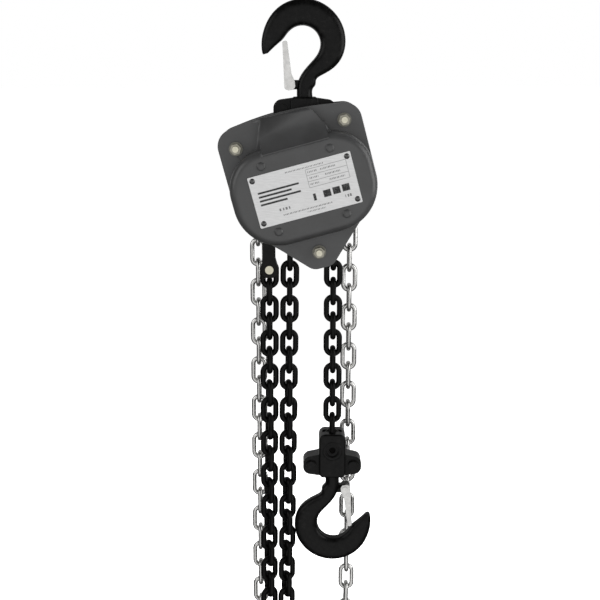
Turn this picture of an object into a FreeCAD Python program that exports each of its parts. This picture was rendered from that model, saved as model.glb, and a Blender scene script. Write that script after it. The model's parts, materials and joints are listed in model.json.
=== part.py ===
"""Hand chain hoist with its suspension hook, casing, gear train, load brake and both chains.

Millimetres, +Z up, +X to the right when facing the name plate, +Y towards the hand wheel.
The origin is the seat of the suspension hook, the point of its bowl that bears on what it hangs from.
"""
import FreeCAD, Part
import math
import os
import Sketcher
from FreeCAD import Placement, Rotation, Vector

doc = FreeCAD.newDocument("chain_hoist")
sheet = doc.addObject("Spreadsheet::Sheet", "sizes")

SIZES = {
    # casing: the sheave axis, its lean, the gap between the side plates and the plates
    "axis_side": 2.0, "axis_drop": 154.6, "lean": 15.0,
    "gap_half": 18.0, "plate_thick": 4.0, "cover_skin": 2.0, "bulge_depth": 29.0, "bridge_depth": 15.0,
    "stay_across": 54.0, "stay_rise": 54.0, "stay_fall": 64.0, "stay_radius": 3.0, "spacer_radius": 7.0,
    "nut_circle": 5.7, "nut_height": 5.0, "washer_radius": 6.8, "washer_thick": 1.5,
    # load chain and sheave
    "load_wire": 6.0, "load_pitch": 18.0, "load_width": 19.4, "sheave_rim": 31.0, "journal_radius": 13.0,
    "load_side": 31.4, "slack_side": -12.1, "anchor_side": -33.1,
    "slack_lean": 0.0118, "anchor_lean": 0.0064, "lean_turn": -610.0,
    # hand chain and wheel
    "hand_wire": 5.0, "hand_pitch": 21.6, "hand_width": 17.5, "hand_plane": 50.0, "hand_rim": 55.0,
    # gears
    "centres": 34.0, "tooth_gap": 0.12,
    # hook, yoke and block
    "hook_reach": 67.5, "load_hook_reach": 72.0, "bowl_radius": 17.5, "shank_side": 2.2, "shank_radius": 7.4,
    "pin_to_collar": 29.5, "cap_reach": 18.0,
    "yoke_half_width": 13.75, "yoke_depth": 14.0, "ear_depth": 9.0, "ear_side": 22.0, "ear_rise": 17.4,
    "ear_bolt": 3.0, "collar_radius": 10.5, "top_pin_radius": 6.0, "chain_pin_radius": 3.4,
    "block_drop": 429.1, "recess_radius": 6.8,
    # name plate
    "label_width": 100.0, "label_height": 49.5, "label_thick": 0.8,
}
for row, (alias, number) in enumerate(SIZES.items(), start=1):
    sheet.set(f"A{row}", alias)
    sheet.set(f"B{row}", str(number))
    sheet.setAlias(f"B{row}", alias)
doc.recompute()
S = {alias: float(sheet.get(alias)) for alias in SIZES}

X, Y, Z = Vector(1, 0, 0), Vector(0, 1, 0), Vector(0, 0, 1)
OUT = Vector(0, -1, 0)
RUN = 0.05          # running clearance of a shaft in its hole
nodes = []


# ---------------------------------------------------------------- frames and small helpers
def facing(x, y, z, lean=0.0, flip=0.0):
    """A frame whose local Z points out of the hoist's front and whose local Y points up."""
    turn = Rotation(Y, -lean).multiply(Rotation(X, 90)).multiply(Rotation(Z, flip))
    return Placement(Vector(x, y, z), turn)


def casing(y=0.0):
    """The casing's own frame: centred on the sheave axis and leaning with the casing."""
    return facing(S["axis_side"], y, -S["axis_drop"], S["lean"])


def in_casing(u, v, y=0.0):
    """The casing's frame moved to the point (u, v)."""
    return casing(y).multiply(Placement(Vector(u, v, 0), Rotation()))


def on_casing(u, v):
    """Where the casing's point (u, v) lies in the object's own X and Z."""
    point = casing().multVec(Vector(u, v, 0))
    return point.x, point.z


def keep(obj, label):
    obj.Label = label
    nodes.append(obj)
    return obj


def feature(label, shape, place=None):
    """A sub-part whose shape comes from Part's own functions."""
    obj = doc.addObject("Part::Feature", label)
    obj.Shape = shape
    if place is not None:
        obj.Placement = place.multiply(shape.Placement)
    return keep(obj, label)


def primitive(kind, name, place, **sizes):
    """A Part primitive; each size is a number or an expression on the sheet."""
    obj = doc.addObject("Part::" + kind, name)
    for prop, value in sizes.items():
        if isinstance(value, str):
            obj.setExpression(prop, value)
        else:
            setattr(obj, prop, value)
    obj.Placement = place
    return obj


def cut(name, base, tools):
    """Base less each of its tools."""
    for tool in tools:
        step = doc.addObject("Part::Cut", name)
        step.Base = base
        step.Tool = tool
        base = step
    return base


def fuse(name, parts):
    obj = doc.addObject("Part::MultiFuse", name)
    obj.Shapes = parts
    return obj


def group(label, parts):
    """Several separate solids that are one sub-part, such as a set of fasteners."""
    obj = doc.addObject("Part::Compound", label)
    obj.Links = parts
    return keep(obj, label)


def rounded(corners):
    """The edges of a closed outline through (u, v, radius) corners, each radius a tangent arc."""
    count = len(corners)
    points = [Vector(u, v, 0) for u, v, _ in corners]
    arcs, firsts, lasts = [], [], []
    for i, (_, _, radius) in enumerate(corners):
        here = points[i]
        back = (points[i - 1] - here).normalize()
        ahead = (points[(i + 1) % count] - here).normalize()
        half = back.getAngle(ahead) / 2
        reach = radius / math.tan(half)
        firsts.append(here + back * reach)
        lasts.append(here + ahead * reach)
        if radius > 0:
            centre = here + (back + ahead).normalize() * (radius / math.sin(half))
            middle = centre + (here - centre).normalize() * radius
            arcs.append(Part.Arc(firsts[i], middle, lasts[i]))
    lines = [Part.LineSegment(lasts[i], firsts[(i + 1) % count]) for i in range(count)
             if (lasts[i] - firsts[(i + 1) % count]).Length > 1e-6]
    return arcs + lines


# ---------------------------------------------------------------- PartDesign helpers
def new_body(name, place):
    body = doc.addObject("PartDesign::Body", name)
    body.Placement = place
    return body


def sketch(body, name, role="XY_Plane", lift=0.0):
    plane = next(f for f in body.Origin.OriginFeatures if f.Role == role)
    obj = body.newObject("Sketcher::SketchObject", name)
    obj.AttachmentSupport = [(plane, "")]
    obj.MapMode = "FlatFace"
    obj.AttachmentOffset = Placement(Vector(0, 0, lift), Rotation())
    return obj


def draw(target, corners):
    for edge in rounded(corners):
        target.addGeometry(edge, False)


def hole(target, u, v, radius):
    """A circle in a sketch whose radius is a number or an expression on the sheet."""
    value = radius if not isinstance(radius, str) else 5.0
    index = target.addGeometry(Part.Circle(Vector(u, v, 0), Z, value), False)
    rule = target.addConstraint(Sketcher.Constraint("Radius", index, value))
    if isinstance(radius, str):
        target.setExpression(f"Constraints[{rule}]", radius)
    if u:
        target.addConstraint(Sketcher.Constraint("DistanceX", -1, 1, index, 3, u))
    if v:
        target.addConstraint(Sketcher.Constraint("DistanceY", -1, 1, index, 3, v))


def extrude(body, name, profile, length, backwards=False, kind="Pad"):
    step = body.newObject("PartDesign::" + kind, name)
    step.Profile = profile
    if isinstance(length, str):
        step.setExpression("Length", length)
    else:
        step.Length = length
    step.Reversed = backwards
    return step


def flat(label, place, corners, thickness, holes=()):
    """A flat piece: a rounded outline with round holes, padded along the frame's Z."""
    body = new_body(label, place)
    outline = sketch(body, label + "_outline")
    draw(outline, corners)
    for u, v, radius in holes:
        hole(outline, u, v, radius)
    extrude(body, label + "_pad", outline, thickness)
    return body


def turned(label, place, profile):
    """A turned piece: a closed (radius, y) profile about the frame's Z, with y growing backwards."""
    body = new_body(label, place)
    half = sketch(body, label + "_profile", "XZ_Plane")
    points = [Vector(r, -y, 0) for r, y in profile]
    for i, point in enumerate(points):
        half.addGeometry(Part.LineSegment(point, points[(i + 1) % len(points)]), False)
    turn = body.newObject("PartDesign::Revolution", label + "_turn")
    turn.Profile = half
    turn.ReferenceAxis = (half, ["V_Axis"])
    turn.Angle = 360
    return body


def bore(body, name, place, radius, height):
    """A round hole along the local Z of place."""
    step = body.newObject("PartDesign::SubtractiveCylinder", name)
    for prop, value in (("Radius", radius), ("Height", height)):
        if isinstance(value, str):
            step.setExpression(prop, value)
        else:
            setattr(step, prop, value)
    step.Placement = place
    return step


def slot(body, name, place, low, high):
    """A box-shaped cut between two corners given in the frame of place."""
    step = body.newObject("PartDesign::SubtractiveBox", name)
    step.Length = high[0] - low[0]
    step.Width = high[1] - low[1]
    step.Height = high[2] - low[2]
    step.Placement = place.multiply(Placement(Vector(*low), Rotation()))
    return step


def round_edges(body, name, base, radius, chosen):
    """Fillet the edges of a feature that the test picks out."""
    doc.recompute()
    names = [f"Edge{i + 1}" for i, edge in enumerate(base.Shape.Edges) if chosen(edge)]
    step = body.newObject("PartDesign::Fillet", name)
    step.Base = (base, names)
    step.Radius = radius
    return step


def in_plane(height):
    """Picks the edges that lie at one height of the body's own Z."""
    return lambda edge: (abs(edge.BoundBox.ZMin - height) < 1e-3 and abs(edge.BoundBox.ZMax - height) < 1e-3)


def coil(radius, wire, turns):
    """A short torsion spring wound about Z from the origin upwards."""
    pitch = wire * 1.3
    helix = Part.makeHelix(pitch, pitch * turns, radius)
    start = Part.Circle(Vector(radius, 0, 0), Vector(0, radius, pitch / 6.283), wire / 2).toShape()
    return Part.Wire(helix.Edges).makePipeShell([Part.Wire(start)], True, True)


# ---------------------------------------------------------------- hooks
def hook_shape(reach):
    """A forged hook: a bowl opening to the left, a neck and a round shank that starts at reach below the seat."""
    bowl = Vector(0, 0, -S["bowl_radius"])
    inner = S["bowl_radius"]
    axis, wide = S["shank_side"], 2 * S["shank_radius"] + 0.5      # the neck is proud of the shank
    neck = [  # centre x, z, direction in degrees, width across the bend, depth, squareness
        (axis, -reach - 3, 90, wide, wide, 2.0),
        (axis, -reach + 1, 90, wide, wide, 2.0),
        (axis + 0.4, -58.5, 82, 15.6, 15.2, 2.4),
        (axis + 4.0, -50.5, 54, 16.6, 15.4, 2.8),
    ]
    around = [  # angle about the bowl's centre, inner and outer radius, depth
        (-54, inner + 0.8, 35.2, 15.6), (-30, inner, 38.8, 16), (-4, inner, 41.4, 16.6),
        (24, inner, 42.4, 17),
        (52, inner, 42.6, 17.4), (80, inner, 42.6, 17.4), (106, inner, 42.0, 17.2), (130, inner, 41.0, 16.6),
        (150, inner + 0.4, 39.9, 15.6), (163, inner + 1.4, 39.5, 14.4), (174, inner + 4.0, 39.5, 13.0),
        (183, inner + 8.2, 39.6, 11.4), (190, inner + 13.0, 39.7, 9.6), (194.5, inner + 17.0, 39.3, 7.4),
    ]
    stations = [(Vector(x, 0, z), math.radians(way), wide, deep, power) for x, z, way, wide, deep,
                power in neck]
    for angle, low, high, deep in around:
        turn = math.radians(angle)
        middle = (low + high) / 2
        spot = bowl + Vector(math.cos(turn), 0, math.sin(turn)) * middle
        stations.append((spot, turn + math.pi / 2, high - low, deep, 2.8))
    sections = []
    for spot, way, wide, deep, power in stations:
        across = Vector(-math.sin(way), 0, math.cos(way))
        ring = []
        for step in range(12):
            t = 2 * math.pi * step / 12
            c, s = math.cos(t), math.sin(t)
            swell = (abs(c) ** power + abs(s) ** power) ** (-1 / power)
            ring.append(spot + across * (wide / 2 * swell * c) + Y * (deep / 2 * swell * s))
        curve = Part.BSplineCurve()
        curve.interpolate(Points=ring, PeriodicFlag=True)
        sections.append(Part.Wire(curve.toShape()))
    body = Part.makeLoft(sections, True, False)
    shank = Part.makeCylinder(S["shank_radius"], 18, Vector(axis, 0, -reach - 16), Z)
    lug = Part.makeCylinder(5.2, 6, Vector(LATCH_X, 3, LATCH_Z), OUT)
    web = Part.makeBox(12, 6, 9, Vector(LATCH_X, -3, LATCH_Z - 4.5))
    hole_cut = Part.makeCylinder(2.0, 12, Vector(LATCH_X, 6, LATCH_Z), OUT)
    return body.fuse([shank, lug, web]).cut(hole_cut)


LATCH_X, LATCH_Z = -11.5, -56.0      # the latch pin's place in the hook's frame
LATCH_TILT, LATCH_LONG = -7.6, 41.6


def latch_parts(prefix, place):
    """The hook's spring latch: a folded sheet, its pin and its torsion spring."""
    here = place.multiply(Placement(Vector(LATCH_X, 0, LATCH_Z), Rotation(Y, LATCH_TILT)))
    cheek = rounded([(-6.4, -3.2, 2.4), (-2.6, -5.2, 2.6), (4.4, -4.8, 4), (4.4, 3, 3), (2.2, 10, 6),
                     (2.2, LATCH_LONG, 1.2),
                     (-2.2, LATCH_LONG, 1.6)])
    face = Part.Face(Part.Wire(Part.__sortEdges__([edge.toShape() for edge in cheek])))
    turn = Placement(Vector(0, 0, 0), Rotation(X, 90))
    sides = []
    for y in (-5.4, 6.8):
        side = face.extrude(Z * 1.4)
        side.Placement = Placement(Vector(0, y, 0), Rotation()).multiply(turn)
        sides.append(side)
    back_foot, back_tip = Vector(-5.4, -5.45, 6), Vector(-2.25, -5.45, LATCH_LONG - 1.2)
    back = Part.makeBox(1.3, 10.9, (back_tip - back_foot).Length)
    back.Placement = Placement(back_foot, Rotation(Z, back_tip - back_foot))
    sheet_metal = sides[0].fuse([sides[1], back])
    pin_hole = Part.makeCylinder(2.0, 20, Vector(0, 10, 0), OUT)
    feature(prefix + "_latch", sheet_metal.cut(pin_hole), here)
    shaft = Part.makeCylinder(2.0 - RUN, 13.6, Vector(0, 6.8, 0), OUT)
    heads = [Part.makeCylinder(3.2, 1.0, Vector(0, y, 0), OUT) for y in (7.8, -6.8)]
    feature(prefix + "_latch_pin", shaft.fuse(heads), here)
    spring = coil(2.75, 0.8, 1.2)
    spring.Placement = Placement(Vector(0, -3.7, 0), Rotation(X, 90))
    feature(prefix + "_latch_spring", Part.makeCompound([spring]), here)


def yoke_half(label, place, front, pin, end_slots):
    """One half of the clamped yoke: a middle block, two bolted ears and the seats cut into it.

    The hook's side is up. A rear half is the front one mirrored by turning it about local Y.
    """
    frame = place if front else place.multiply(Placement(Vector(0, 0, 0), Rotation(Y, 180)))
    half, top = S["yoke_half_width"], S["pin_to_collar"]
    body = new_body(label, frame)
    ears = sketch(body, label + "_ears", lift=RUN)
    draw(ears, [(-half + 1, 0, 2), (half - 1, 0, 2), (half + 0.2, 5.5, 2), (30.4, 8.8, 8), (30.4, 26, 8),
                (half - 2, 28.6, 2),
                (2 - half, 28.6, 2), (-30.4, 26, 8), (-30.4, 8.8, 8), (-half - 0.2, 5.5, 2)])
    extrude(body, label + "_ear_pad", ears, "sizes.ear_depth - 0.05")
    block = sketch(body, label + "_block", lift=RUN)
    draw(block, [(-half, -S["cap_reach"], 6.5), (half, -S["cap_reach"], 6.5), (half, top - 3, 3),
                 (half - 3, top, 2),
                 (3 - half, top, 2), (-half, top - 3, 3)])
    pad = extrude(body, label + "_block_pad", block, "sizes.yoke_depth - 0.05")
    round_edges(body, label + "_soft", pad, 2.2, in_plane(S["yoke_depth"]))
    deep = S["yoke_depth"] + 4
    through = Placement(Vector(0, 0, -2), Rotation())
    bore(body, label + "_pin_bore", through, pin, deep)
    for side in (-1, 1):
        bore(body, f"{label}_bolt_bore_{side + 1}",
             Placement(Vector(side * S["ear_side"], S["ear_rise"], -2), Rotation()),
             S["ear_bolt"] + 0.1, deep)
    upright = Rotation(X, -90)
    bore(body, label + "_neck_bore", Placement(Vector(0, top - 7, 0), upright), S["shank_radius"] + 0.6, 10)
    bore(body, label + "_collar_seat", Placement(Vector(0, 12.6, 0), upright), S["collar_radius"] + 0.5,
         top - 19.2)
    if end_slots:
        recess = Placement(Vector(0, 0, S["yoke_depth"] - 2.6), Rotation())
        bore(body, label + "_pin_recess", recess, S["recess_radius"], 6)
    for index, (low, high) in enumerate(end_slots):
        slot(body, f"{label}_slot_{index}", Placement(), low, high)
    return keep(body, label)


def yoke_bolts(prefix, place):
    """The two domed bolts through the yoke's ears and their nuts behind."""
    bolts, nuts = [], []
    for side in (-1, 1):
        at = place.multiply(Placement(Vector(side * S["ear_side"], S["ear_rise"], 0), Rotation()))
        shaft = primitive("Cylinder", prefix + "_shaft",
                          at.multiply(Placement(Vector(0, 0, -14), Rotation())),
                          Radius="sizes.ear_bolt", Height=14 + S["ear_depth"])
        head = primitive("Cylinder", prefix + "_head",
                         at.multiply(Placement(Vector(0, 0, S["ear_depth"]), Rotation())),
                         Radius=5.3, Height=3.0)
        bolts.append(fuse(prefix + "_bolt", [shaft, head]))
        nut = primitive("Prism", prefix + "_hex", at.multiply(Placement(Vector(0, 0, -S["ear_depth"] - 4.4),
                                                                        Rotation())),
                        Polygon=6, Circumradius=5.6, Height=4.4)
        thread = primitive("Cylinder", prefix + "_thread",
                           at.multiply(Placement(Vector(0, 0, -14), Rotation())),
                           Radius="sizes.ear_bolt", Height=6)
        nuts.append(cut(prefix + "_nut", nut, [thread]))
    group(prefix + "_bolts", bolts)
    group(prefix + "_nuts", nuts)


def collar(label, place, reach):
    """The thrust collar that holds a hook's shank in its yoke."""
    below = place.multiply(Placement(Vector(S["shank_side"], 0, -reach - 14), Rotation()))
    ring = primitive("Cylinder", label + "_ring", below, Radius="sizes.collar_radius", Height=6.5)
    inside = primitive("Cylinder", label + "_bore", below.multiply(Placement(Vector(0, 0, -1), Rotation())),
                       Radius="sizes.shank_radius + 0.05", Height=9)
    keep(cut(label + "_blank", ring, [inside]), label)


top_place = Placement()
seat_drop = S["block_drop"] + S["pin_to_collar"] + S["load_hook_reach"]
low_place = Placement(Vector(S["load_side"] + S["shank_side"], 0, -seat_drop), Rotation(Y, 180))
top_pin_drop = S["hook_reach"] + S["pin_to_collar"]
feature("suspension_hook", hook_shape(S["hook_reach"]), top_place)
latch_parts("suspension_hook", top_place)
collar("suspension_hook_collar", top_place, S["hook_reach"])
top_yoke = facing(S["shank_side"], 0, -top_pin_drop)
yoke_half("suspension_yoke_front", top_yoke, True, S["top_pin_radius"] + RUN, [])
yoke_half("suspension_yoke_rear", top_yoke, False, S["top_pin_radius"] + RUN, [])
yoke_bolts("suspension_yoke", top_yoke)

feature("load_hook", hook_shape(S["load_hook_reach"]), low_place)
latch_parts("load_hook", low_place)
collar("load_hook_collar", low_place, S["load_hook_reach"])
low_yoke = facing(S["load_side"], 0, -S["block_drop"], flip=180)
link_long = (S["load_pitch"] + 2 * S["load_wire"]) / 2
end_drop = S["load_pitch"] / 2 - S["chain_pin_radius"]      # the end link's centre above its pin
chain_slots = [((-10.3, -S["cap_reach"] - 1, -4), (10.3, link_long - end_drop + 0.6, 3.4)),
               ((-3.5, -S["cap_reach"] - 1, -4), (3.5, -end_drop - S["load_pitch"] + link_long + 1.2, 10.3))]
yoke_half("load_block_front", low_yoke, True, S["chain_pin_radius"] + RUN, chain_slots)
yoke_half("load_block_rear", low_yoke, False, S["chain_pin_radius"] + RUN, chain_slots)
yoke_bolts("load_block", low_yoke)
pin_back = low_yoke.multiply(Placement(Vector(0, 0, -10.8), Rotation()))
keep(primitive("Cylinder", "load_chain_pin", pin_back, Radius="sizes.chain_pin_radius",
               Height=21.6), "load_chain_pin")


# ---------------------------------------------------------------- casing
CASING = [(-71, -20, 36), (-36, -55, 15), (-12, -80.5, 13), (8, -80.5, 13), (34, -55, 15), (71, -20, 36),
          (71, 67.5, 17),
          (0, 80, 300), (-71, 71.5, 17)]
stays = [(-S["stay_across"], S["stay_rise"]), (S["stay_across"], S["stay_rise"]), (-2.0, -S["stay_fall"])]
plate_face = S["gap_half"] + S["plate_thick"]
top_pin_local = casing().inverse().multVec(Vector(S["shank_side"], 0, -top_pin_drop))
top_pin_at = (top_pin_local.x, top_pin_local.y)
HANGER = (-45.8, -33.7)
STUDS = [(0, 34.6), (0, -34.6)]
GUIDE = (-5.4, -43.5)
PAWLS = [152.0, -28.0]
stay_holes = [(u, v, "sizes.stay_radius") for u, v in stays]
pin_hole = [(*top_pin_at, "sizes.top_pin_radius")]
spindles = [(-S["centres"], 0.0), (S["centres"], 0.0)]
bush_outer = 19.0
bush_hole = [(0, 0, bush_outer)]
hanger_hole = [(*HANGER, 3.0)]

shared = stay_holes + pin_hole + bush_hole + hanger_hole
front_holes = shared + [(u, v, 4.0 + RUN) for u, v in spindles] + [(u, v, 2.5) for u, v in STUDS]
pawl_pins = [(48 * math.cos(math.radians(a)), 48 * math.sin(math.radians(a))) for a in PAWLS]
rear_holes = shared + [(u, v, 3.0) for u, v in pawl_pins]
keep(flat("front_side_plate", casing(-S["gap_half"]), CASING, "sizes.plate_thick", front_holes),
     "front_side_plate")
keep(flat("rear_side_plate", casing(plate_face), CASING, "sizes.plate_thick", rear_holes), "rear_side_plate")

keep(primitive("Cylinder", "top_pin", in_casing(*top_pin_at, plate_face), Radius="sizes.top_pin_radius",
               Height=2 * plate_face), "top_pin")

stay_list, stay_nuts, stay_washers = [], [], []
nut_seat = plate_face + S["cover_skin"]
stud_end = nut_seat + S["washer_thick"] + S["nut_height"] + 2.6
for number, (u, v) in enumerate(stays):
    rod = primitive("Cylinder", "stay_rod", in_casing(u, v, stud_end), Radius="sizes.stay_radius",
                    Height=2 * stud_end)
    wide = primitive("Cylinder", "stay_spacer", in_casing(u, v, S["gap_half"]), Height="2 * sizes.gap_half",
                     Radius="sizes.spacer_radius" if number < 2 else "sizes.stay_radius + 0.5")
    stay_list.append(fuse("stay_bolt", [rod, wide]))
    for end, base in (("front", -nut_seat), ("rear", nut_seat + S["washer_thick"])):
        washer = primitive("Cylinder", end + "_washer_disc", in_casing(u, v, base),
                           Radius="sizes.washer_radius",
                           Height="sizes.washer_thick")
        rest = base - S["washer_thick"] if end == "front" else base + S["nut_height"]
        nut = primitive("Prism", end + "_hex", in_casing(u, v, rest), Polygon=6,
                        Circumradius="sizes.nut_circle",
                        Height="sizes.nut_height")
        core = primitive("Cylinder", end + "_core", in_casing(u, v, stud_end + 1), Radius="sizes.stay_radius",
                         Height=2 * stud_end + 2)
        stay_nuts.append(cut(end + "_nut", nut, [core]))
        stay_washers.append(cut(end + "_washer", washer, [core]))
group("stay_bolts", stay_list)
group("stay_nuts", stay_nuts)
group("stay_washers", stay_washers)


def front_cover():
    """The pressed gear cover: a flange, a deep rounded bulge and a lower bridge up to its top edge."""
    body = new_body("cover_shell", casing(-plate_face))
    flange = sketch(body, "cover_flange")
    draw(flange, CASING)
    for u, v in stays:
        hole(flange, u, v, "sizes.stay_radius")
    extrude(body, "cover_flange_pad", flange, "sizes.cover_skin")
    skin = S["cover_skin"]
    crown = skin + S["bulge_depth"]
    bulge = sketch(body, "cover_bulge", lift=skin)
    draw(bulge, [(-70, 48, 38), (-70, -46, 44), (70, -46, 44), (70, 48, 38)])
    pad = extrude(body, "cover_bulge_pad", bulge, "sizes.bulge_depth")
    round_edges(body, "cover_bulge_round", pad, 9, in_plane(crown))
    bridge = sketch(body, "cover_bridge", lift=skin)
    draw(bridge, [(-24, 75.8, 6), (25, 74.2, 8), (36, 53, 14), (46, 30, 4), (-46, 30, 4), (-33, 53, 14)])
    extrude(body, "cover_bridge_pad", bridge, "sizes.bridge_depth")
    hollow = sketch(body, "cover_hollow")
    draw(hollow, [(-66, 44, 34), (-66, -42, 40), (66, -42, 40), (66, 44, 34)])
    extrude(body, "cover_hollow_cut", hollow, crown - 3.5, backwards=True, kind="Pocket")
    tunnel = sketch(body, "cover_tunnel")
    draw(tunnel, [(-18, 70, 4), (19, 69, 4), (27, 40, 2), (-25, 40, 2)])
    extrude(body, "cover_tunnel_cut", tunnel, skin + S["bridge_depth"] - 2, backwards=True, kind="Pocket")
    low_w, high_w = skin + S["bridge_depth"] - 1, crown - 0.4
    wedge = [Vector(-29, v, w) for v, w in ((45, low_w), (59, low_w), (43.5, high_w), (42, high_w),
                                            (45, low_w))]
    slope = doc.addObject("Part::Feature", "cover_slope")
    slope.Shape = Part.Face(Part.makePolygon(wedge)).extrude(Vector(64, 0, 0))
    slope.Placement = casing(-plate_face)
    keep(fuse("gear_cover_pressing", [body, slope]), "gear_cover")


front_cover()
crown_depth = plate_face + S["cover_skin"] + S["bulge_depth"]
LABEL = (0.9, 1.6)
half_w, half_h = S["label_width"] / 2, S["label_height"] / 2
rivet_at = [(LABEL[0] + side * (half_w - 4), LABEL[1] + rise * (half_h - 4)) for side in (-1,
                                                                                          1) for rise in (-1,
                                                                                                          1)]
label_body = flat("name_plate", casing(-crown_depth),
                  [(LABEL[0] - half_w, LABEL[1] - half_h, 1), (LABEL[0] + half_w, LABEL[1] - half_h, 1),
                   (LABEL[0] + half_w, LABEL[1] + half_h, 1), (LABEL[0] - half_w, LABEL[1] + half_h, 1)],
                  "sizes.label_thick", [(u, v, 1.4) for u, v in rivet_at])
keep(label_body, "name_plate")
rivets = []
for u, v in rivet_at:
    stem = primitive("Cylinder", "rivet_stem", in_casing(u, v, -crown_depth), Radius=1.4,
                     Height="sizes.label_thick")
    dome = primitive("Cone", "rivet_dome", in_casing(u, v, -crown_depth - S["label_thick"]), Radius1=2.7,
                     Radius2=1.4,
                     Height=1.0)
    rivets.append(fuse("rivet", [stem, dome]))
group("name_plate_rivets", rivets)


# ---------------------------------------------------------------- load sheave and bearings
def wheel_radius(pockets, pitch, wire):
    """Radius of the links' turning points on a pocket wheel."""
    a, b, step = (pitch + wire) / 2, (pitch - wire) / 2, math.pi / pockets
    return math.sqrt(a * a + b * b + 2 * a * b * math.cos(step)) / math.sin(step)


def pocket_wheel(label, place, profile, pockets, phase, floor, half_long, half_wide, rim):
    """A turned wheel with a pocket for each link that lies flat on it; phase turns the first pocket."""
    body = turned(label, place, profile)
    for index in range(pockets):
        turn = Placement(Vector(0, 0, 0), Rotation(Z, phase + 360 * index / pockets))
        slot(body, f"{label}_pocket_{index}", turn, (floor, -half_long, -half_wide),
             (rim + 2, half_long, half_wide))
    return body


SHEAVE_POCKETS, WHEEL_POCKETS = 4, 7
sheave_turning = wheel_radius(SHEAVE_POCKETS, S["load_pitch"], S["load_wire"])
flat_link_in = math.sqrt(sheave_turning ** 2 - ((S["load_pitch"] + S["load_wire"]) / 2) ** 2)
journal, rim = S["journal_radius"], S["sheave_rim"]
sheave_bore, groove_half = 6.6, 3.7
groove_floor, crest, cheek = flat_link_in - 7.9, sheave_turning + 0.6, S["load_width"] / 2 + 0.4
sheave_profile = [(sheave_bore, 22), (journal - RUN, 22), (journal - RUN, 14), (rim, 14), (rim, cheek),
                  (crest, cheek), (crest, groove_half), (groove_floor, groove_half),
                  (groove_floor, -groove_half),
                  (crest, -groove_half), (crest, -cheek), (rim, -cheek), (rim, -14),
                  (journal - RUN, -14), (journal - RUN, -36), (sheave_bore, -36)]
lean_turn = -S["lean"]
sheave = pocket_wheel("load_sheave", casing(), sheave_profile, SHEAVE_POCKETS, lean_turn,
                      flat_link_in - S["load_wire"] / 2 - 0.2, 15.4, S["load_width"] / 2 + 0.4, rim)
keep(sheave, "load_sheave")


def ring(name, place, outer, inner, length):
    """A plain ring between two radii, its back at the frame's origin."""
    outside = primitive("Cylinder", name + "_outside", place, Radius=outer, Height=length)
    inside = primitive("Cylinder", name + "_inside", place.multiply(Placement(Vector(0, 0, -1), Rotation())),
                       Radius=inner, Height=length + 2)
    return cut(name, outside, [inside])


group("sheave_bearings", [ring("front_bush", casing(-S["gap_half"]), bush_outer, journal, S["plate_thick"]),
                          ring("rear_bush", casing(plate_face), bush_outer, journal, S["plate_thick"])])
keep(ring("gear_retaining_ring", casing(-34.2), journal + 2.5, journal - RUN, 1.5), "gear_retaining_ring")


# ---------------------------------------------------------------- gears
MODULE = S["centres"] / 30
PRESSURE = math.radians(25)


def gear_wire(teeth, phase):
    """The outline of a spur gear; each flank is an arc through three points of its involute."""
    pitch_r = MODULE * teeth / 2
    base_r, tip_r, root_r = pitch_r * math.cos(PRESSURE), pitch_r + 0.8 * MODULE, pitch_r - 1.1 * MODULE
    start_r = max(base_r, root_r)

    def spread(radius):
        """Half the angle of a tooth at a radius."""
        roll = math.sqrt(max((radius / base_r) ** 2 - 1, 0))
        pitch_roll = math.tan(PRESSURE)
        thick = math.pi / (2 * teeth) - S["tooth_gap"] / (2 * pitch_r)
        return thick + (pitch_roll - PRESSURE) - (roll - math.atan(roll))

    def spot(radius, angle):
        return Vector(radius * math.cos(angle), radius * math.sin(angle), 0)

    edges = []
    for tooth in range(teeth):
        middle = 2 * math.pi * tooth / teeth + phase
        after = 2 * math.pi * (tooth + 1) / teeth + phase
        mid_r = (start_r + tip_r) / 2
        up = [spot(r, middle - spread(r)) for r in (start_r, mid_r, tip_r)]
        down = [spot(r, middle + spread(r)) for r in (tip_r, mid_r, start_r)]
        foot = spot(root_r, middle + spread(start_r))
        next_foot = spot(root_r, after - spread(start_r))
        if start_r > root_r + 1e-6:
            edges.append(Part.LineSegment(spot(root_r, middle - spread(start_r)), up[0]).toShape())
        edges.append(Part.Arc(*up).toShape())
        edges.append(Part.Arc(up[2], spot(tip_r, middle), down[0]).toShape())
        edges.append(Part.Arc(*down).toShape())
        if start_r > root_r + 1e-6:
            edges.append(Part.LineSegment(down[2], foot).toShape())
        edges.append(Part.Arc(foot, spot(root_r, (middle + after) / 2), next_foot).toShape())
    return Part.Wire(edges)


def gear(teeth, phase, y_back, y_front, bore_r=0.0):
    """A gear between two depths of the casing's frame, on its own axis."""
    face = Part.Face(gear_wire(teeth, phase))
    solid = face.extrude(Z * (y_back - y_front))
    if bore_r:
        solid = solid.cut(Part.makeCylinder(bore_r, 100, Vector(0, 0, -50)))
    solid.Placement = Placement(Vector(0, 0, -y_back), Rotation())
    return solid


def spindle(radius, y_back, y_front):
    return Part.makeCylinder(radius, y_back - y_front, Vector(0, 0, -y_back))


HALF_TOOTH = math.radians(3.6)
load_gear = gear(50, HALF_TOOTH, -25, -33.8, journal - RUN)
feature("load_gear", load_gear, casing())
for side, (u, v) in zip(("left", "right"), spindles):
    big = gear(50, HALF_TOOTH, -39, -45)
    small = gear(10, 0, -24.6, -37.6)
    body = big.fuse([small, spindle(4.0, -18.2, -24.6), spindle(4.2, -37.6, -39), spindle(4.0, -45, -49)])
    feature(f"intermediate_gear_{side}", body, in_casing(u, v))

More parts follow.
